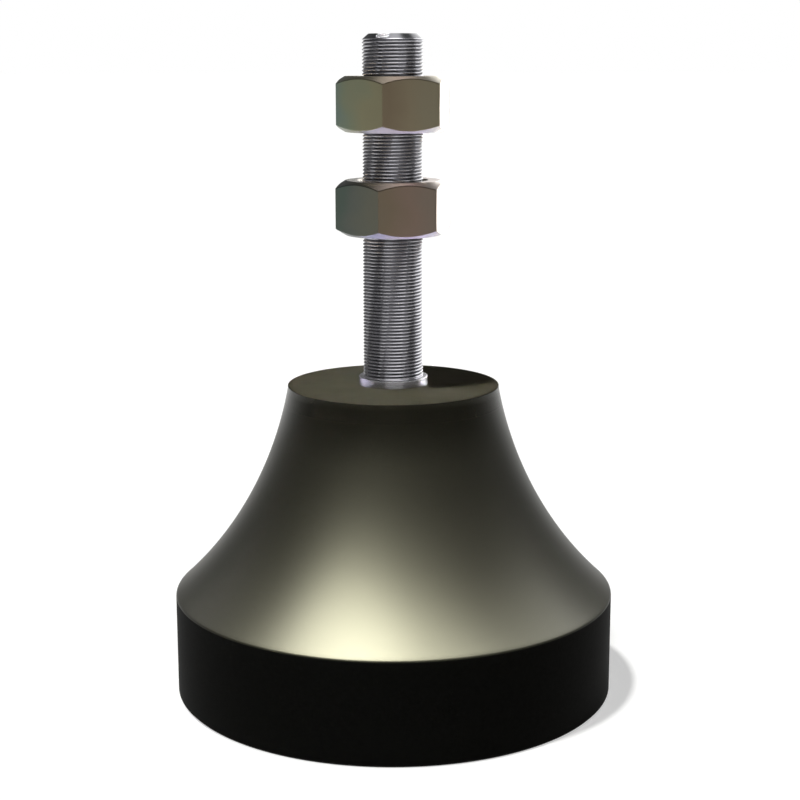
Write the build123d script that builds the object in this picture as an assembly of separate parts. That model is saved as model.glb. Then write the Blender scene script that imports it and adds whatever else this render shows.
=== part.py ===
from build123d import *
import math
import os

# Rubber anti-vibration mount: a moulded rubber bell with a threaded stud bonded into it,
# and two hex nuts on the stud that clamp the foot of a machine between them.
# Millimetres. The origin is the centre of the sole, +Z runs up the stud, -Y is the front.

# Rubber bell
base_diameter = 74.6
foot_height = 17.1
sole_edge_chamfer = 0.4
bell_height = 52.6
top_diameter = 35.5
top_band = 0.4           # upright below the top edge
flare_slope = 10.6       # degrees from upright, where the flare leaves the band
bond_gap = 0.05          # between the rubber and the metal moulded into it

# Levelling stud
thread_diameter = 10.0
end_chamfer_width = 1.05
end_chamfer_height = 0.9
free_end = 6.7           # thread that stands above the upper nut
slot_width = 2.2
slot_depth = 0.7
slot_turn = 22.0         # degrees, turned clockwise from straight ahead
collar_diameter = 11.5
collar_height = 1.4
collar_edge = 0.1
spigot_diameter = 8.0

# Anchor plate
plate_diameter = 40.0
plate_thickness = 4.0
plate_edge = 0.6
hub_diameter = 18.0
hub_height = 5.0
rubber_under_plate = 20.0
peen_width = 1.2
spigot_clearance = 0.02

# Hex nuts
across_flats = 17.0
nut_height = 9.0
washer_face_diameter = 15.6
corner_chamfer_angle = 31.0
nut_clearance = 0.05
countersink = 0.75
lower_nut_rise = 23.7    # from the collar up to the lower nut
machine_foot_gap = 7.8   # between the two nuts
lower_nut_turn = -14.0   # degrees from the front to the nearest corner
upper_nut_turn = -9.8

# Heights that follow from them
thread_radius = thread_diameter / 2
collar_top = bell_height + bond_gap + collar_height
lower_nut_bottom = collar_top + lower_nut_rise
upper_nut_bottom = lower_nut_bottom + nut_height + machine_foot_gap
stud_top = upper_nut_bottom + nut_height + free_end
plate_bottom = rubber_under_plate
plate_top = plate_bottom + plate_thickness
hub_top = plate_top + hub_height


def turned(points):
    """The solid that a lathe leaves: a closed outline of (radius, height) points, spun about Z."""
    outline = Plane.XZ * Polyline(*points, close=True)
    return revolve(make_face(outline), Axis.Z)


def make_rubber_bell():
    """One moulding: foot wall, hollow flare and upright top edge, with a pocket for the metal inside."""
    base_radius = base_diameter / 2
    top_radius = top_diameter / 2
    slope = math.radians(flare_slope)
    flare_top = (top_radius, bell_height - top_band)
    rim = (base_radius, foot_height)

    flare = TangentArc(flare_top, rim, tangent=(math.sin(slope), -math.cos(slope)))
    rest = Polyline(
        rim,
        (base_radius, sole_edge_chamfer),
        (base_radius - sole_edge_chamfer, 0),
        (0, 0),
        (0, bell_height),
        (top_radius, bell_height),
        flare_top,
    )
    bell = revolve(make_face(Plane.XZ * (flare + rest)), Axis.Z)

    shank_pocket = thread_radius + bond_gap
    hub_pocket = hub_diameter / 2 + bond_gap
    plate_pocket = plate_diameter / 2 + bond_gap
    pocket = turned([
        (0, plate_bottom - bond_gap),
        (plate_pocket, plate_bottom - bond_gap),
        (plate_pocket, plate_top + bond_gap),
        (hub_pocket, plate_top + bond_gap),
        (hub_pocket, hub_top + bond_gap),
        (shank_pocket, hub_top + bond_gap),
        (shank_pocket, bell_height + bond_gap),
        (0, bell_height + bond_gap),
    ])
    return bell - pocket


def make_levelling_stud():
    """One turned piece: slotted end, threaded length, collar, shank and the spigot that is peened."""
    collar_radius = collar_diameter / 2
    spigot_radius = spigot_diameter / 2
    stud = turned([
        (0, stud_top),
        (thread_radius - end_chamfer_width, stud_top),
        (thread_radius, stud_top - end_chamfer_height),
        (thread_radius, collar_top),
        (collar_radius - collar_edge, collar_top),
        (collar_radius, collar_top - collar_edge),
        (collar_radius, collar_top - collar_height),
        (thread_radius, collar_top - collar_height),
        (thread_radius, hub_top),
        (spigot_radius, hub_top),
        (spigot_radius, plate_bottom + peen_width),
        (spigot_radius + peen_width, plate_bottom),
        (0, plate_bottom),
    ])
    slot = Pos(0, 0, stud_top) * Rot(0, 0, -slot_turn) * Box(
        slot_width, 2 * thread_diameter, 2 * slot_depth
    )
    return stud - slot


def make_anchor_plate():
    """Round steel plate with a hub, which holds the foot of the stud inside the rubber."""
    plate_radius = plate_diameter / 2
    hub_radius = hub_diameter / 2
    hole_radius = spigot_diameter / 2 + spigot_clearance
    return turned([
        (hole_radius, hub_top),
        (hub_radius, hub_top),
        (hub_radius, plate_top),
        (plate_radius - plate_edge, plate_top),
        (plate_radius, plate_top - plate_edge),
        (plate_radius, plate_bottom + plate_edge),
        (plate_radius - plate_edge, plate_bottom),
        (hole_radius + peen_width, plate_bottom),
        (hole_radius, plate_bottom + peen_width),
    ])


def make_nut(bottom, turn):
    """Hex nut with both faces chamfered to a round washer face, one corner turned from the front."""
    half_flats = across_flats / 2
    washer_radius = washer_face_diameter / 2
    outer_radius = across_flats / math.sqrt(3) + 1
    chamfer_height = (outer_radius - washer_radius) * math.tan(math.radians(corner_chamfer_angle))
    bore_radius = thread_radius + nut_clearance

    prism = extrude(RegularPolygon(half_flats, 6, major_radius=False, rotation=30 + turn), nut_height)
    turning = turned([
        (bore_radius + countersink, 0),
        (washer_radius, 0),
        (outer_radius, chamfer_height),
        (outer_radius, nut_height - chamfer_height),
        (washer_radius, nut_height),
        (bore_radius + countersink, nut_height),
        (bore_radius, nut_height - countersink),
        (bore_radius, countersink),
    ])
    return Pos(0, 0, bottom) * (prism & turning)


os.makedirs("parts", exist_ok=True)
export_step(make_rubber_bell(), "parts/rubber_bell.step")
export_step(make_anchor_plate(), "parts/anchor_plate.step")
export_step(make_levelling_stud(), "parts/levelling_stud.step")
export_step(make_nut(lower_nut_bottom, lower_nut_turn), "parts/lower_nut.step")
export_step(make_nut(upper_nut_bottom, upper_nut_turn), "parts/upper_nut.step")
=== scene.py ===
import math

import bmesh
import bpy
import numpy as np
from mathutils import Matrix, Vector


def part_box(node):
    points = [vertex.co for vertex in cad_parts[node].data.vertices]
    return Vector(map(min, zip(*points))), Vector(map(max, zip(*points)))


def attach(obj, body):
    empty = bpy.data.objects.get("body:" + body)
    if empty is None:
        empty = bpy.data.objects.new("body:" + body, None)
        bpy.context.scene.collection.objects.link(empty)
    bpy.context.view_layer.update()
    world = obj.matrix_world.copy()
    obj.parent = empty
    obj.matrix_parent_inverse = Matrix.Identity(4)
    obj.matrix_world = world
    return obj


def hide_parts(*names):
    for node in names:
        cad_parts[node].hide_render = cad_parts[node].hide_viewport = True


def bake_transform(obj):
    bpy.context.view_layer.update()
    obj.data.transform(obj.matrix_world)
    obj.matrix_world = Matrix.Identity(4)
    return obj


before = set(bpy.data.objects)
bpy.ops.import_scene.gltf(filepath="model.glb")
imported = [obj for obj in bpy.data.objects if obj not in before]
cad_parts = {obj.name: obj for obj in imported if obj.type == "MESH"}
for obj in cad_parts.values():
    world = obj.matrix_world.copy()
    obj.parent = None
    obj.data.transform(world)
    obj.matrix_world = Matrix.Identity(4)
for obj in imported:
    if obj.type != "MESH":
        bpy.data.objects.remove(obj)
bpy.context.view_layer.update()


# Rubber bell.
# One compression moulding of black nitrile rubber: foot wall, flare and flat top, moulded
# round the stud's foot and its plate. Nothing fixes it to them but the bond.

MM = 0.001
bell_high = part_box("rubber_bell")[1]
BELL_RADIUS = bell_high.x
BELL_HEIGHT = bell_high.z
FOOT_HEIGHT = 17.1 * MM
TOP_RADIUS = 17.75 * MM
TOP_BAND = 0.4 * MM
FLARE_SLOPE = math.radians(10.6)
SOLE_CHAMFER = 0.4 * MM
SOLE_START = 2 * MM                          # radius at which the rows across the sole begin
RIM_ROUND = 0.30 * MM
TOP_ROUND = 0.12 * MM
BOND_GAP = 0.05 * MM
POCKET_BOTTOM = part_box("anchor_plate")[0].z - BOND_GAP
PLATE_POCKET = (20.05 * MM, 24.05 * MM)      # radius, height of its roof
HUB_POCKET = (9.05 * MM, 29.05 * MM)
SHANK_POCKET_RADIUS = 5.05 * MM
SOLE_ROWS, WALL_ROWS, FLARE_ROWS, TOP_ROWS = 12, 20, 48, 8
BELL_COLUMNS = 192
NECK_FOOT, NECK_TOP = 42 * MM, 53 * MM       # heights between which the polish gets finer
FLARE_ROUGHNESS, NECK_ROUGHNESS = 0.385, 0.24
CORNER_POINTS = 5                            # that a rounded corner of an outline gets


def surface_mesh(name, radius, height, turn=0.0, closed=False, sharp=35.0):
    """A piece given by r(i, j) and z(i, j) on a grid of rows i along its outline and columns j round Z.

    Column j stands at the angle a = turn + 2 pi j / columns from the front, and the point there is
    x = r sin a, y = -r cos a, z = height. The outline runs up the outside. A closed outline joins
    its last row to its first one, and an open one is closed on the axis at both ends.
    """
    rows, columns = np.broadcast_shapes(radius.shape, height.shape)
    angle = turn + 2 * np.pi * np.arange(columns) / columns
    r, z = np.broadcast_to(radius, (rows, columns)), np.broadcast_to(height, (rows, columns))
    points = np.stack([r * np.sin(angle), -r * np.cos(angle), z], axis=-1).reshape(-1, 3)

    i = np.arange(rows if closed else rows - 1)[:, None]
    j = np.arange(columns)[None, :]
    i_next, j_next = (i + 1) % rows, (j + 1) % columns
    corners = (i * columns + j, i * columns + j_next, i_next * columns + j_next, i_next * columns + j)
    faces = np.stack(np.broadcast_arrays(*corners), axis=-1).reshape(-1, 4).tolist()
    if not closed:
        foot, head = len(points), len(points) + 1
        points = np.vstack([points, [0, 0, z[0].mean()], [0, 0, z[-1].mean()]])
        around, last = np.arange(columns), (rows - 1) * columns
        next_one = (around + 1) % columns
        faces += np.stack([np.full(columns, foot), next_one, around], axis=-1).tolist()
        faces += np.stack([last + around, last + next_one, np.full(columns, head)], axis=-1).tolist()

    mesh = bpy.data.meshes.new(name)
    mesh.from_pydata(points.tolist(), [], faces)
    mesh.shade_smooth()
    mesh.set_sharp_from_angle(angle=math.radians(sharp))
    piece = bpy.data.objects.new(name, mesh)
    bpy.context.scene.collection.objects.link(piece)
    return piece


def arc_between(start, slope, end, count):
    """Points of the arc that leaves start going down at slope from upright, outwards, and ends at end.

    The centre lies on the normal at start, at the distance chord squared / (2 chord . normal), which
    is the radius; the points are centre + radius (cos t, sin t) for equal steps of t.
    """
    normal = np.array([math.cos(slope), math.sin(slope)])
    chord = np.array(end) - np.array(start)
    size = chord @ chord / (2 * chord @ normal)
    centre = np.array(start) + size * normal
    first = math.atan2(*(np.array(start) - centre)[::-1])
    last = math.atan2(*(np.array(end) - centre)[::-1])
    turn = np.linspace(first % (2 * math.pi), last % (2 * math.pi), count)
    return centre + size * np.stack([np.cos(turn), np.sin(turn)], axis=-1)


def rounded(outline, corner, size):
    """The outline with the corner at that index rounded off, from size before it to size after it.

    The curve is (1 - t)^2 first + 2 t (1 - t) corner + t^2 last, for t from 0 to 1.
    """
    before, point, after = (np.array(outline[corner + k]) for k in (-1, 0, 1))
    first = point + (before - point) / np.linalg.norm(before - point) * size
    last = point + (after - point) / np.linalg.norm(after - point) * size
    t = np.linspace(0, 1, CORNER_POINTS)[:, None]
    curve = (1 - t) ** 2 * first + 2 * t * (1 - t) * point + t ** 2 * last
    return np.vstack([outline[:corner], curve, outline[corner + 1:]])


def steps(start, end, count):
    """Points start (1 - t) + end t for count equal steps of t, up to but not including end."""
    t = np.arange(count)[:, None] / count
    return np.array(start) * (1 - t) + np.array(end) * t


flare_top = (TOP_RADIUS, BELL_HEIGHT - TOP_BAND)
rim = (BELL_RADIUS, FOOT_HEIGHT)
wall = np.vstack([
    steps((SOLE_START, 0), (BELL_RADIUS - SOLE_CHAMFER, 0), SOLE_ROWS),
    [(BELL_RADIUS - SOLE_CHAMFER, 0)],
    steps((BELL_RADIUS, SOLE_CHAMFER), rim, WALL_ROWS),
])
flare = arc_between(flare_top, FLARE_SLOPE, rim, FLARE_ROWS)[::-1]
pocket = np.vstack([
    steps((TOP_RADIUS, BELL_HEIGHT), (SHANK_POCKET_RADIUS, BELL_HEIGHT), TOP_ROWS),
    [
        (SHANK_POCKET_RADIUS, BELL_HEIGHT),
        (SHANK_POCKET_RADIUS, HUB_POCKET[1]),
        HUB_POCKET,
        (HUB_POCKET[0], PLATE_POCKET[1]),
        PLATE_POCKET,
        (PLATE_POCKET[0], POCKET_BOTTOM),
    ],
])
outline = np.vstack([wall, flare, pocket])
outline = rounded(outline, len(wall) + len(flare), TOP_ROUND)
outline = rounded(outline, len(wall), RIM_ROUND)
bell = surface_mesh("moulded_bell", outline[:, :1], outline[:, 1:] + np.zeros(BELL_COLUMNS))


def linear(colour):
    """An sRGB hex value as the linear colour that a shader takes."""
    parts = [int(colour[k:k + 2], 16) / 255 for k in (1, 3, 5)]
    return (*[c / 12.92 if c <= 0.04045 else ((c + 0.055) / 1.055) ** 2.4 for c in parts], 1.0)


def new_material(name):
    """An empty node material and its output node."""
    material = bpy.data.materials.new(name)
    material.use_nodes = True
    material.node_tree.nodes.clear()
    return material, material.node_tree.nodes.new("ShaderNodeOutputMaterial")


def add(tree_owner, kind, settings=None, stops=(), **inputs):
    """Adds one node. Settings are its properties, stops are a colour ramp's (position, colour) pairs,
    and an input is a value, or the output that feeds it."""
    tree = tree_owner.node_tree
    node = tree.nodes.new(kind)
    for key, value in (settings or {}).items():
        setattr(node, key, value)
    for key, value in inputs.items():
        sockets = [s for s in node.inputs if s.enabled and s.identifier.replace(" ", "_") == key]
        if isinstance(value, bpy.types.NodeSocket):
            tree.links.new(value, sockets[0])
        else:
            sockets[0].default_value = value
    if stops:
        elements = node.color_ramp.elements
        while len(elements) < len(stops):
            elements.new(0.5)
        for element, (position, colour) in zip(elements, stops):
            element.position = position
            element.color = colour
    return node


def finish_material(tree_owner, output, shader):
    """Links the shader to the output and returns the owner of both."""
    tree_owner.node_tree.links.new(shader.outputs[0], output.inputs["Surface"])
    return tree_owner


def make_polished_rubber():
    """Nitrile rubber from a polished mould: near black, with a waxy olive bloom in clouds of about
    14 mm and a broad soft gloss, which is tighter up the steep neck, where the mould is polished along
    its draft. The skin's grain is really finer than 0.1 mm, and is drawn at 0.9 mm so that it shows."""
    material, output = new_material("nitrile_rubber_polished_mould")
    place = add(material, "ShaderNodeTexCoord").outputs["Object"]
    clouds = add(material, "ShaderNodeTexNoise", Vector=place, Scale=1 / (14 * MM), Detail=3.0)
    grain = add(material, "ShaderNodeTexNoise", Vector=place, Scale=1 / (0.9 * MM), Detail=2.0)
    colour = add(
        material, "ShaderNodeValToRGB", Fac=clouds.outputs[0],
        stops=[(0.3, linear("#13120d")), (0.7, linear("#181711"))],
    )
    height = add(material, "ShaderNodeSeparateXYZ", Vector=place)
    gloss = add(
        material, "ShaderNodeMapRange", {"interpolation_type": "SMOOTHSTEP"}, Value=height.outputs["Z"],
        From_Min=NECK_FOOT, From_Max=NECK_TOP, To_Min=FLARE_ROUGHNESS, To_Max=NECK_ROUGHNESS,
    )
    bump = add(material, "ShaderNodeBump", Strength=0.12, Distance=0.03 * MM, Height=grain.outputs[0])
    shader = add(
        material, "ShaderNodeBsdfPrincipled",
        Base_Color=colour.outputs["Color"], Roughness=gloss.outputs[0], Normal=bump.outputs[0],
    )
    shader.inputs["IOR"].default_value = 1.5
    shader.inputs["Specular IOR Level"].default_value = 0.15
    shader.inputs["Specular Tint"].default_value = linear("#fffcd8")
    return finish_material(material, output, shader)


def make_matt_painted_shade_rubber():
    """The same rubber where the mould is spark eroded: the foot wall and sole, dull, and painted
    darker than the flare as painted shade on the upright wall, which the light from above misses.
    The eroded grain is really about 0.1 mm, and is drawn at 0.6 mm so that it shows."""
    material, output = new_material("nitrile_rubber_eroded_mould")
    place = add(material, "ShaderNodeTexCoord").outputs["Object"]
    grain = add(material, "ShaderNodeTexNoise", Vector=place, Scale=1 / (0.6 * MM), Detail=2.0)
    # Painted shade: these near blacks are darker than the flare's rubber.
    colour = add(
        material, "ShaderNodeValToRGB", Fac=grain.outputs[0],
        stops=[(0.3, linear("#0a0a08")), (0.7, linear("#10100e"))],
    )
    bump = add(material, "ShaderNodeBump", Strength=0.2, Distance=0.04 * MM, Height=grain.outputs[0])
    shader = add(
        material, "ShaderNodeBsdfPrincipled",
        Base_Color=colour.outputs["Color"], Roughness=0.55, Normal=bump.outputs[0],
    )
    shader.inputs["IOR"].default_value = 1.5
    shader.inputs["Specular IOR Level"].default_value = 0.01
    return finish_material(material, output, shader)


def make_painted_light_top_rubber():
    """The same rubber on the flat top, dull, and painted an olive grey far lighter than the rest of it:
    painted light, for the light that falls on the top from above, in patches of about 7 mm."""
    material, output = new_material("nitrile_rubber_waxy_bloom")
    place = add(material, "ShaderNodeTexCoord").outputs["Object"]
    patches = add(material, "ShaderNodeTexNoise", Vector=place, Scale=1 / (7 * MM), Detail=4.0)
    grain = add(material, "ShaderNodeTexNoise", Vector=place, Scale=1 / (0.6 * MM), Detail=2.0)
    # Painted light: this olive grey is far lighter than the flare's near black, because the top faces the
    # light.
    colour = add(
        material, "ShaderNodeValToRGB", Fac=patches.outputs[0],
        stops=[(0.3, linear("#4c493e")), (0.7, linear("#545146"))],
    )
    bump = add(material, "ShaderNodeBump", Strength=0.15, Distance=0.03 * MM, Height=grain.outputs[0])
    shader = add(
        material, "ShaderNodeBsdfPrincipled",
        Base_Color=colour.outputs["Color"], Roughness=0.6, Normal=bump.outputs[0],
    )
    shader.inputs["IOR"].default_value = 1.5
    shader.inputs["Specular IOR Level"].default_value = 0.0
    return finish_material(material, output, shader)


for finish in (make_polished_rubber(), make_matt_painted_shade_rubber(), make_painted_light_top_rubber()):
    bell.data.materials.append(finish)
centres = np.zeros(len(bell.data.polygons) * 3)
bell.data.polygons.foreach_get("center", centres)
face_height = centres.reshape(-1, 3)[:, 2]
# Faces below the rim take the darker copy of the rubber, painted shade on the foot wall.
below_rim = face_height < FOOT_HEIGHT - RIM_ROUND / 2      # the finishes meet about halfway
# Faces on top take the lighter copy of the rubber, painted light on the flat top.
on_top = face_height > BELL_HEIGHT - TOP_ROUND * 0.6       # round the two rounded edges
bell.data.polygons.foreach_set("material_index", below_rim + 2 * on_top.astype(np.int32))

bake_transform(bell)
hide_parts("rubber_bell")


# Anchor plate.
# A steel disc with a hub, grit blasted and painted with bonding primer before it goes into the
# mould, and peened to the stud. The rubber hides all of it.

def make_primed_steel():
    """Grit-blasted steel under a thin coat of grey bonding primer: dull, with a fine tooth, which is
    really about 0.1 mm and is drawn at 0.4 mm so that it shows."""
    material, output = new_material("grit_blasted_primed_steel")
    place = add(material, "ShaderNodeTexCoord").outputs["Object"]
    grit = add(material, "ShaderNodeTexNoise", Vector=place, Scale=1 / (0.4 * MM), Detail=3.0)
    colour = add(
        material, "ShaderNodeValToRGB", Fac=grit.outputs[0],
        stops=[(0.3, linear("#4c4d4f")), (0.7, linear("#606164"))],
    )
    bump = add(material, "ShaderNodeBump", Strength=0.4, Distance=0.03 * MM, Height=grit.outputs[0])
    shader = add(
        material, "ShaderNodeBsdfPrincipled",
        Base_Color=colour.outputs["Color"], Metallic=0.6, Roughness=0.7, Normal=bump.outputs[0],
    )
    return finish_material(material, output, shader)


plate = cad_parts["anchor_plate"]
plate.data.materials.clear()
plate.data.materials.append(make_primed_steel())


# Levelling stud.
# One piece turned from steel bar and bright zinc plated: a slotted, chamfered end, a rolled fine
# thread down to the collar, a polished collar on the rubber, and the shank that is bonded inside.

stud_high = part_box("levelling_stud")[1]
STUD_TOP = stud_high.z
THREAD_RADIUS = 5.0 * MM
THREAD_PITCH = 0.553 * MM                   # as fine as it looks in the photograph
THREAD_DEPTH = 0.26 * MM
THREAD_FADE = 0.15 * MM                     # over which the thread runs out at its two ends
END_CHAMFER = (1.05 * MM, 0.9 * MM)         # width, height
SLOT = (2.2 * MM, 0.7 * MM)                 # width, depth
SLOT_TURN = math.radians(22.0)
SLOT_CUTTER_LENGTH = 20 * MM
END_SHARP = 25.0                            # degrees, past which an edge of the end is sharp
COLLAR_RADIUS = stud_high.x
COLLAR_FOOT = BELL_HEIGHT + BOND_GAP
COLLAR_TOP = COLLAR_FOOT + 1.4 * MM
COLLAR_EDGE = 0.1 * MM
COLLAR_ROWS = 8                             # on its wall
HUB_TOP = HUB_POCKET[1] - BOND_GAP
SPIGOT_RADIUS = 4.0 * MM
PEEN_WIDTH = 1.2 * MM
END_START = 1 * MM                          # radius at which the rows across a flat end begin
# Painted shade: the thread's roots are coloured dark grey between these depths.
ROOT_SHADE_FULL, ROOT_SHADE_NONE = 0.22 * MM, 0.06 * MM     # depths below the thread's crests
ROWS_A_PITCH = 8
THREAD_COLUMNS = 96


def thread_depth_at(height, angle):
    """How deep the thread is cut: its share of a pitch is height / pitch - angle / a turn, and the
    depth rises and falls over that share as a V with its crest and root rounded off."""
    share = (height / THREAD_PITCH - angle / (2 * np.pi)) % 1.0
    vee = 1 - np.abs(2 * share - 1)
    return THREAD_DEPTH * vee ** 2 * (3 - 2 * vee)


end_foot = STUD_TOP - END_CHAMFER[1]
thread_rows = int((end_foot - COLLAR_TOP) / THREAD_PITCH * ROWS_A_PITCH)
thread_height = np.linspace(COLLAR_TOP, end_foot, thread_rows)
thread_angle = 2 * np.pi * np.arange(THREAD_COLUMNS) / THREAD_COLUMNS
fade = np.clip(np.minimum(thread_height - COLLAR_TOP, end_foot - thread_height) / THREAD_FADE, 0, 1)
cut = thread_depth_at(thread_height[:, None], thread_angle[None, :]) * fade[:, None]
shank = np.array([
    (END_START, POCKET_BOTTOM + BOND_GAP),
    (SPIGOT_RADIUS + PEEN_WIDTH, POCKET_BOTTOM + BOND_GAP),
    (SPIGOT_RADIUS, POCKET_BOTTOM + BOND_GAP + PEEN_WIDTH),
    (SPIGOT_RADIUS, HUB_TOP),
    (THREAD_RADIUS, HUB_TOP),
    (THREAD_RADIUS, COLLAR_FOOT),
    (COLLAR_RADIUS, COLLAR_FOOT),
    (COLLAR_RADIUS, COLLAR_TOP),
    (THREAD_RADIUS - 2 * THREAD_DEPTH, COLLAR_TOP),     # in under the thread's root
])
lower_corner, upper_corner = 6, 7
shank = rounded(shank, upper_corner, COLLAR_EDGE)
shank = rounded(shank, lower_corner, COLLAR_EDGE)
wall_top = lower_corner + CORNER_POINTS
shank = np.vstack([
    shank[:wall_top - 1],
    steps(shank[wall_top - 1], shank[wall_top], COLLAR_ROWS),
    shank[wall_top:],
])
collar = surface_mesh("collar_and_shank", shank[:, :1], shank[:, 1:] + np.zeros(THREAD_COLUMNS))
thread = surface_mesh("rolled_thread", THREAD_RADIUS - cut, thread_height[:, None])

end_outline = np.array([
    (END_START, end_foot),
    (THREAD_RADIUS, end_foot),
    (THREAD_RADIUS - END_CHAMFER[0], STUD_TOP),
    (END_START, STUD_TOP),
])
end_height = end_outline[:, 1:] + np.zeros(THREAD_COLUMNS)
end = surface_mesh("slotted_end", end_outline[:, :1], end_height, sharp=END_SHARP)
bm = bmesh.new()
bmesh.ops.create_cube(bm, size=1.0)
bm.transform(
    Matrix.Translation((0, 0, STUD_TOP))
    @ Matrix.Rotation(-SLOT_TURN, 4, "Z")
    @ Matrix.Diagonal((SLOT[0], SLOT_CUTTER_LENGTH, 2 * SLOT[1], 1))
)
cutter_mesh = bpy.data.meshes.new("slot_cutter")
bm.to_mesh(cutter_mesh)
bm.free()
cutter = bpy.data.objects.new("slot_cutter", cutter_mesh)
bpy.context.scene.collection.objects.link(cutter)
milling = end.modifiers.new("slot", "BOOLEAN")
milling.operation = "DIFFERENCE"
milling.object = cutter
milling.solver = "EXACT"
bpy.context.view_layer.update()
slotted = bpy.data.meshes.new_from_object(end.evaluated_get(bpy.context.evaluated_depsgraph_get()))
end.modifiers.clear()
end.data = slotted
slotted.name = "slotted_end"
slotted.shade_smooth()
slotted.set_sharp_from_angle(angle=math.radians(END_SHARP))
bpy.data.objects.remove(cutter)


def make_bright_zinc(name, glossiest, dullest):
    """Bright zinc on turned steel: cool silver with turning marks, and painted a dark grey in the roots
    of the thread as painted shade. The thread is satin, and the collar is polished. The marks are really
    about 0.1 mm apart. They are drawn at 0.5 mm so that they show, and stretched round the stud."""
    material, output = new_material(name)
    place = add(material, "ShaderNodeTexCoord").outputs["Object"]
    stretch = add(material, "ShaderNodeMapping", Vector=place, Scale=(0.15, 0.15, 3.0))
    marks = add(material, "ShaderNodeTexNoise", Vector=stretch.outputs[0], Scale=1 / (0.5 * MM), Detail=2.0)
    silver = add(
        material, "ShaderNodeValToRGB", Fac=marks.outputs[0],
        stops=[(0.3, linear("#b0afb4")), (0.7, linear("#c4c3c7"))],
    )
    flat = add(
        material, "ShaderNodeVectorMath", {"operation": "MULTIPLY"}, Vector=place, Vector_001=(1, 1, 0),
    )
    radius = add(material, "ShaderNodeVectorMath", {"operation": "LENGTH"}, Vector=flat.outputs[0])
    rise = add(
        material, "ShaderNodeMapRange", {"interpolation_type": "SMOOTHSTEP"}, Value=radius.outputs["Value"],
        From_Min=THREAD_RADIUS - ROOT_SHADE_FULL, From_Max=THREAD_RADIUS - ROOT_SHADE_NONE,
    )
    # Painted shade: the roots of the thread are mixed to a dark grey.
    colour = add(
        material, "ShaderNodeMix", {"data_type": "RGBA"},
        Factor_Float=rise.outputs[0], A_Color=linear("#636366"), B_Color=silver.outputs["Color"],
    )
    gloss = add(material, "ShaderNodeMapRange", Value=marks.outputs[0], To_Min=glossiest, To_Max=dullest)
    bump = add(material, "ShaderNodeBump", Strength=0.15, Distance=0.01 * MM, Height=marks.outputs[0])
    shader = add(
        material, "ShaderNodeBsdfPrincipled",
        Base_Color=colour.outputs[2], Metallic=1.0, Roughness=gloss.outputs[0], Normal=bump.outputs[0],
    )
    return finish_material(material, output, shader)


satin_zinc = make_bright_zinc("bright_zinc_on_rolled_thread", 0.2, 0.3)
polished_zinc = make_bright_zinc("bright_zinc_on_polished_collar", 0.24, 0.28)
for piece, finish in ((thread, satin_zinc), (end, satin_zinc), (collar, polished_zinc)):
    piece.data.materials.clear()
    piece.data.materials.append(finish)
    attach(piece, "stud")
    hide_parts("levelling_stud")


# Lower and upper hex nut.
# Cold forged steel nuts, 17 mm across flats, both faces turned to a round washer face at 31
# degrees, tapped, zinc plated and passivated, which gives the satin olive and brown tints. How the
# tints lie, grey green on the left and brown on the right, flat by flat, is painted reflection.

FLATS_RADIUS = 8.5 * MM
WASHER_RADIUS = 7.8 * MM
CORNER_ANGLE = math.radians(31)
BORE_RADIUS = 5.05 * MM
COUNTERSINK = 0.75 * MM
NUT_EDGE = 0.12 * MM
NUT_SHARP = 20.0                            # degrees, past which an edge is worn round by NUT_EDGE
COLUMNS_A_FLAT = 16
# Painted reflection: the tints sweep across each nut from left to right and step by which way a flat faces.
PAINTED_REFLECTION_REACH = 20 * MM                        # the tints below run from minus to plus this
FILM_CLOUDS = 3 * MM                        # how far the clouds push a tint along
PAINTED_REFLECTION_FACING = 10 * MM                       # how far a flat that faces sideways does
TINT_STOPS = (0.10, 0.16, 0.23, 0.55, 0.64, 0.72)


def hex_nut(name, node, corner_from_front):
    """A nut on the grid of surface_mesh: rows run bottom washer face, chamfer, flat, chamfer, top
    washer face, countersink, bore, countersink. At the angle a from a corner the flat stands at
    r = flats / cos((a mod 60) - 30), and the chamfer's cone meets it (r - washer) tan(31) from
    the face, which gives each flat its curved ends."""
    low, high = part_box(node)
    angle = 2 * np.pi * np.arange(6 * COLUMNS_A_FLAT) / (6 * COLUMNS_A_FLAT)
    flat = FLATS_RADIUS / np.cos(angle % (np.pi / 3) - np.pi / 6)
    drop = (flat - WASHER_RADIUS) * math.tan(CORNER_ANGLE)
    same = np.ones_like(angle)
    radius = np.stack([
        WASHER_RADIUS * same, flat, flat, WASHER_RADIUS * same,
        (BORE_RADIUS + COUNTERSINK) * same, BORE_RADIUS * same,
        BORE_RADIUS * same, (BORE_RADIUS + COUNTERSINK) * same,
    ])
    height = np.stack([
        low.z * same, low.z + drop, high.z - drop, high.z * same,
        high.z * same, (high.z - COUNTERSINK) * same,
        (low.z + COUNTERSINK) * same, low.z * same,
    ])
    turn = math.radians(corner_from_front)
    nut = surface_mesh(name, radius, height, turn=turn, closed=True, sharp=NUT_SHARP)
    edges = nut.modifiers.new("worn_edges", "BEVEL")
    edges.width = NUT_EDGE
    edges.segments = 2
    edges.limit_method = "ANGLE"
    edges.angle_limit = math.radians(NUT_SHARP)
    edges.harden_normals = True
    return nut


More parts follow.
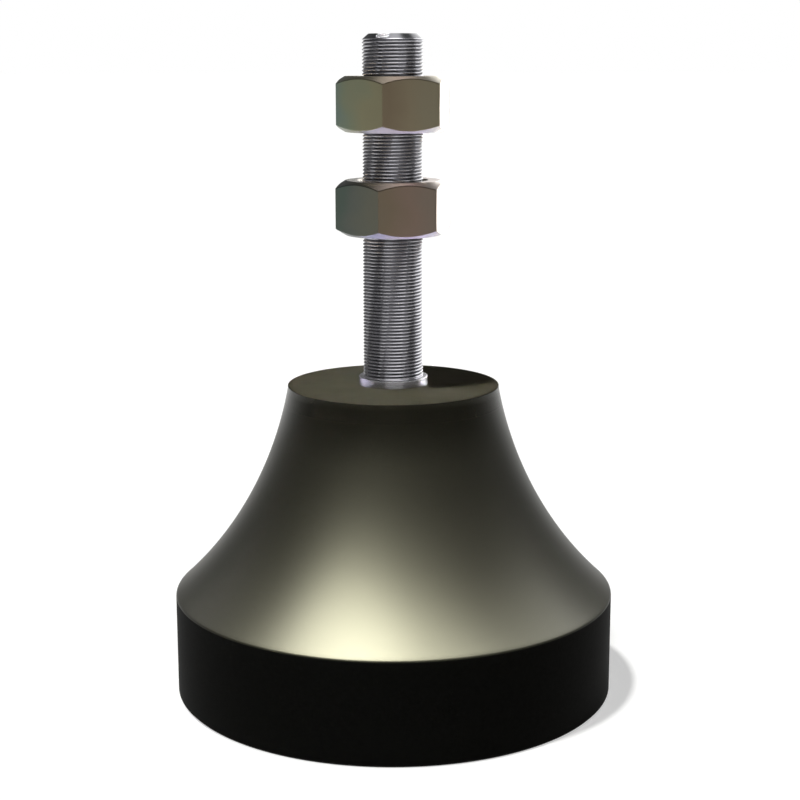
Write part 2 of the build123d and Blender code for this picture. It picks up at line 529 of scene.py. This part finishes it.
def make_passivated_zinc_painted_reflection(name, tints):
    """Passivated zinc on forged steel: satin, with olive and brown tints in soft clouds of about 6 mm.
    The tint drifts across the nut from grey green on the left to brown on the right, and steps from
    flat to flat by which way each faces: painted reflection. The forged grain is really about 0.1 mm,
    and is drawn at 0.5 mm so that it shows."""
    material, output = new_material(name)
    coordinates = add(material, "ShaderNodeTexCoord").outputs
    place = coordinates["Object"]
    across = add(material, "ShaderNodeSeparateXYZ", Vector=place)
    clouds = add(material, "ShaderNodeTexNoise", Vector=place, Scale=1 / (6 * MM), Detail=1.0)
    cloud_shift = add(
        material, "ShaderNodeMapRange", Value=clouds.outputs[0], To_Min=-FILM_CLOUDS, To_Max=FILM_CLOUDS,
    )
    reflection_and_cloud_place = add(material, "ShaderNodeMath", Value=across.outputs["X"], Value_001=cloud_shift.outputs[0])
    facing = add(material, "ShaderNodeSeparateXYZ", Vector=coordinates["Normal"])
    faced = add(
        material, "ShaderNodeMath", {"operation": "MULTIPLY_ADD"},
        Value=facing.outputs["X"], Value_001=PAINTED_REFLECTION_FACING, Value_002=reflection_and_cloud_place.outputs[0],
    )
    drift = add(
        material, "ShaderNodeMapRange", Value=faced.outputs[0], From_Min=-PAINTED_REFLECTION_REACH, From_Max=PAINTED_REFLECTION_REACH,
    )
    grain = add(material, "ShaderNodeTexNoise", Vector=place, Scale=1 / (0.5 * MM), Detail=3.0)
    # Painted reflection: the tint is picked by place across the nut and by which way the surface faces.
    colour = add(
        material, "ShaderNodeValToRGB", Fac=drift.outputs[0],
        stops=[(position, linear(tint)) for position, tint in zip(TINT_STOPS, tints)],
    )
    gloss = add(material, "ShaderNodeMapRange", Value=grain.outputs[0], To_Min=0.3, To_Max=0.4)
    bump = add(material, "ShaderNodeBump", Strength=0.1, Distance=0.02 * MM, Height=grain.outputs[0])
    shader = add(
        material, "ShaderNodeBsdfPrincipled",
        Base_Color=colour.outputs["Color"], Metallic=1.0,
        Roughness=gloss.outputs[0], Normal=bump.outputs[0],
    )
    return finish_material(material, output, shader)


# name, node, degrees from the front to the nearest corner, finish, its tints from left to right,
# laid out as painted reflection
nut_kinds = [
    ("lower_hex_nut", "lower_nut", -14.0, "passivated_zinc_grey_brown",
     ("#4d5750", "#565a54", "#5d5e54", "#6d6152", "#746459", "#70655b")),
    ("upper_hex_nut", "upper_nut", -9.8, "passivated_zinc_olive",
     ("#6d7c74", "#787e6a", "#817e65", "#726654", "#7b715d", "#7a7360")),
]
nuts = []
for name, node, corner, finish, tints in nut_kinds:
    nut = hex_nut(name, node, corner)
    nut.data.materials.append(make_passivated_zinc_painted_reflection(finish, tints))
    nuts.append(nut)
    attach(nut, node)
    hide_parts(node)


# Stage.
# A pale floor that runs to the horizon under a plain studio world, one soft key lamp high on the
# left, and a camera where the photograph was taken from. The gloss lamps stand for the light panels
# that show in the photograph's reflections. They add reflections alone, each on its own pieces.

FLOOR_SIZE = 30.0           # metres
FLOOR_COLOUR = "#c8c8c6"
FLOOR_GLOW = 0.5            # what the camera and reflections see added to the lit floor
AMBIENT = 0.15              # the world's strength for diffuse light
HORIZON_TOP = 0.04          # up to which reflections see the white backdrop
PANELS = [                  # what they see above it: (place, level), where 0 is behind, 0.25 left,
                            # 0.5 in front and 0.75 right
    (0.30, 0.18), (0.34, 0.06), (0.39, 0.03), (0.43, 0.25),
    (0.675, 0.25), (0.70, 0.12), (0.73, 0.06), (0.77, 0.25),
]

bpy.ops.mesh.primitive_plane_add(size=FLOOR_SIZE, location=(0, 0, 0))
floor = bpy.context.object
floor.name = "pale_floor"


def background_rays(tree_owner):
    """Two outputs: 1 for camera and transmission rays, which see the background itself, and 1 for
    glossy rays, which see it reflected."""
    path = add(tree_owner, "ShaderNodeLightPath").outputs
    seen = add(
        tree_owner, "ShaderNodeMath", {"operation": "MAXIMUM"},
        Value=path["Is Camera Ray"], Value_001=path["Is Transmission Ray"],
    )
    return seen.outputs[0], path["Is Glossy Ray"]


floor_paint, floor_output = new_material("matt_pale_floor")
direct, glossy = background_rays(floor_paint)
seen = add(floor_paint, "ShaderNodeMath", {"operation": "MAXIMUM"}, Value=direct, Value_001=glossy)
glow = add(
    floor_paint, "ShaderNodeMath", {"operation": "MULTIPLY"},
    Value=seen.outputs[0], Value_001=FLOOR_GLOW,
)
paint = add(floor_paint, "ShaderNodeBsdfDiffuse", Color=linear(FLOOR_COLOUR))
light = add(floor_paint, "ShaderNodeEmission", Color=(1, 1, 1, 1), Strength=glow.outputs[0])
finish_material(floor_paint, floor_output, add(
    floor_paint, "ShaderNodeAddShader", Shader=paint.outputs[0], Shader_001=light.outputs[0],
))
floor.data.materials.append(floor_paint)

world = bpy.data.worlds.new("studio")
world.use_nodes = True
world.node_tree.nodes.clear()
world_output = world.node_tree.nodes.new("ShaderNodeOutputWorld")
sky = add(world, "ShaderNodeSeparateXYZ", Vector=add(world, "ShaderNodeTexCoord").outputs["Generated"])
horizon = add(
    world, "ShaderNodeMapRange", {"interpolation_type": "SMOOTHSTEP"}, Value=sky.outputs["Z"],
    From_Min=0.0, From_Max=HORIZON_TOP, To_Min=1.0, To_Max=0.0,
)
back = add(world, "ShaderNodeMath", {"operation": "MULTIPLY"}, Value=sky.outputs["Y"], Value_001=-1.0)
azimuth = add(
    world, "ShaderNodeMath", {"operation": "ARCTAN2"}, Value=sky.outputs["X"], Value_001=back.outputs[0],
)
around = add(
    world, "ShaderNodeMapRange", Value=azimuth.outputs[0],
    From_Min=-math.pi, From_Max=math.pi, To_Min=0.0, To_Max=1.0,
)
panels = add(
    world, "ShaderNodeValToRGB", Fac=around.outputs[0],
    stops=[(position, (level, level, level, 1)) for position, level in PANELS],
)
reflected = add(
    world, "ShaderNodeMath", {"operation": "MAXIMUM"},
    Value=horizon.outputs[0], Value_001=panels.outputs["Color"],
)
direct, glossy = background_rays(world)
studio = add(
    world, "ShaderNodeMapRange", Value=glossy,
    To_Min=AMBIENT, To_Max=reflected.outputs[0],
)
strength = add(world, "ShaderNodeMath", {"operation": "MAXIMUM"}, Value=studio.outputs[0], Value_001=direct)
finish_material(world, world_output, add(
    world, "ShaderNodeBackground", Color=(1, 1, 1, 1), Strength=strength.outputs[0],
))
bpy.context.scene.world = world


def sun_lamp(name, direction, energy, angle, pieces=None, colour="#ffffff", shadows=True):
    """A sun that shines from direction, angle degrees wide. One made for some pieces alone adds only
    gloss, on those. One without shadows isn't cut off by the pieces in front of it."""
    lamp = bpy.data.objects.new(name, bpy.data.lights.new(name, "SUN"))
    lamp.data.energy = energy
    lamp.data.angle = math.radians(angle)
    lamp.data.color = linear(colour)[:3]
    lamp.data.use_shadow = shadows
    lamp.data.cycles.use_multiple_importance_sampling = shadows
    lamp.rotation_euler = Vector(direction).to_track_quat("Z", "Y").to_euler()
    bpy.context.scene.collection.objects.link(lamp)
    if pieces:
        lamp.visible_diffuse = False
        lit = bpy.data.collections.new(name)
        for piece in pieces:
            lit.objects.link(piece)
        lamp.light_linking.receiver_collection = lit
    return lamp


KEY_DIRECTION = (-0.274, -0.205, 0.940)
key = sun_lamp("key_lamp", KEY_DIRECTION, 2.7, 5)
key.visible_glossy = False

stud = [thread, end]
sun_lamp("rubber_key_gloss", KEY_DIRECTION, 36.0, 40, [bell])
sun_lamp("rubber_top_gloss", (0.05, -0.05, 1.0), 27.0, 50, [bell])
sun_lamp("rubber_right_gloss", (0.48, 0.35, 0.80), 8.0, 50, [bell])
sun_lamp("rubber_left_gloss", (-0.53, 0.50, 0.65), 1.0, 50, [bell])
sun_lamp("stud_rim_gloss", (0.65, 0.75, 0.12), 2.0, 75, [thread, end, collar])
sun_lamp("stud_front_gloss", (0.12, -0.74, 0.66), 2.1, 96, stud)
sun_lamp("collar_front_gloss", (0.10, -0.98, -0.19), 0.16, 60, [collar], shadows=False)
sun_lamp("collar_left_gloss", (-0.92, 0.34, -0.19), 0.70, 60, [collar], "#e8e4ff", shadows=False)
sun_lamp("collar_right_gloss", (0.77, 0.61, -0.19), 0.8, 50, [collar], shadows=False)
sun_lamp("stud_top_gloss", (0.06, 0.16, 0.98), 0.45, 24, stud)
sun_lamp("slot_gloss", (0.69, 0.72, 0), 2.0, 60, [end], shadows=False)
sun_lamp("nut_top_gloss", (0.05, 0.44, 0.90), 0.5, 22, nuts, "#e4e0f0", shadows=False)
sun_lamp("nut_corner_gloss", (0.22, 0.92, 0.33), 0.75, 28, nuts)
sun_lamp("nut_side_gloss", (0.47, 0.88, -0.05), 4.0, 50, nuts, shadows=False)
sun_lamp("nut_under_gloss", (0.08, 0.53, -0.84), 1.8, 44, nuts, "#c4c8ff", shadows=False)

CAMERA_DISTANCE = 0.2709    # metres, in front of the stud
CAMERA_HEIGHT = 0.1058      # metres, above the floor
CAMERA_PITCH = 0.2002       # radians, down
CAMERA_YAW = 0.0036         # radians, to the right
CAMERA_ROLL = -0.0013
FOCAL_PIXELS = 1636.5
CENTRE_PIXEL = (399.1, 393.7)
IMAGE_SIZE = 800

right = Vector((math.cos(CAMERA_YAW), -math.sin(CAMERA_YAW), 0))
ahead = Vector((
    math.sin(CAMERA_YAW) * math.cos(CAMERA_PITCH),
    math.cos(CAMERA_YAW) * math.cos(CAMERA_PITCH),
    -math.sin(CAMERA_PITCH),
))
up = right.cross(ahead)
roll_cos, roll_sin = math.cos(CAMERA_ROLL), math.sin(CAMERA_ROLL)
camera = bpy.data.objects.new("camera", bpy.data.cameras.new("camera"))
camera.matrix_world = Matrix.Translation((0, -CAMERA_DISTANCE, CAMERA_HEIGHT)) @ Matrix((
    right * roll_cos + up * roll_sin,
    up * roll_cos - right * roll_sin,
    -ahead,
)).transposed().to_4x4()
camera.data.sensor_width = 36.0
camera.data.lens = FOCAL_PIXELS * camera.data.sensor_width / IMAGE_SIZE
camera.data.shift_x = (IMAGE_SIZE / 2 - CENTRE_PIXEL[0]) / IMAGE_SIZE
camera.data.shift_y = (CENTRE_PIXEL[1] - IMAGE_SIZE / 2) / IMAGE_SIZE
camera.data.clip_start = 0.01
bpy.context.scene.collection.objects.link(camera)
bpy.context.scene.camera = camera
bpy.context.scene.view_settings.view_transform = "Standard"
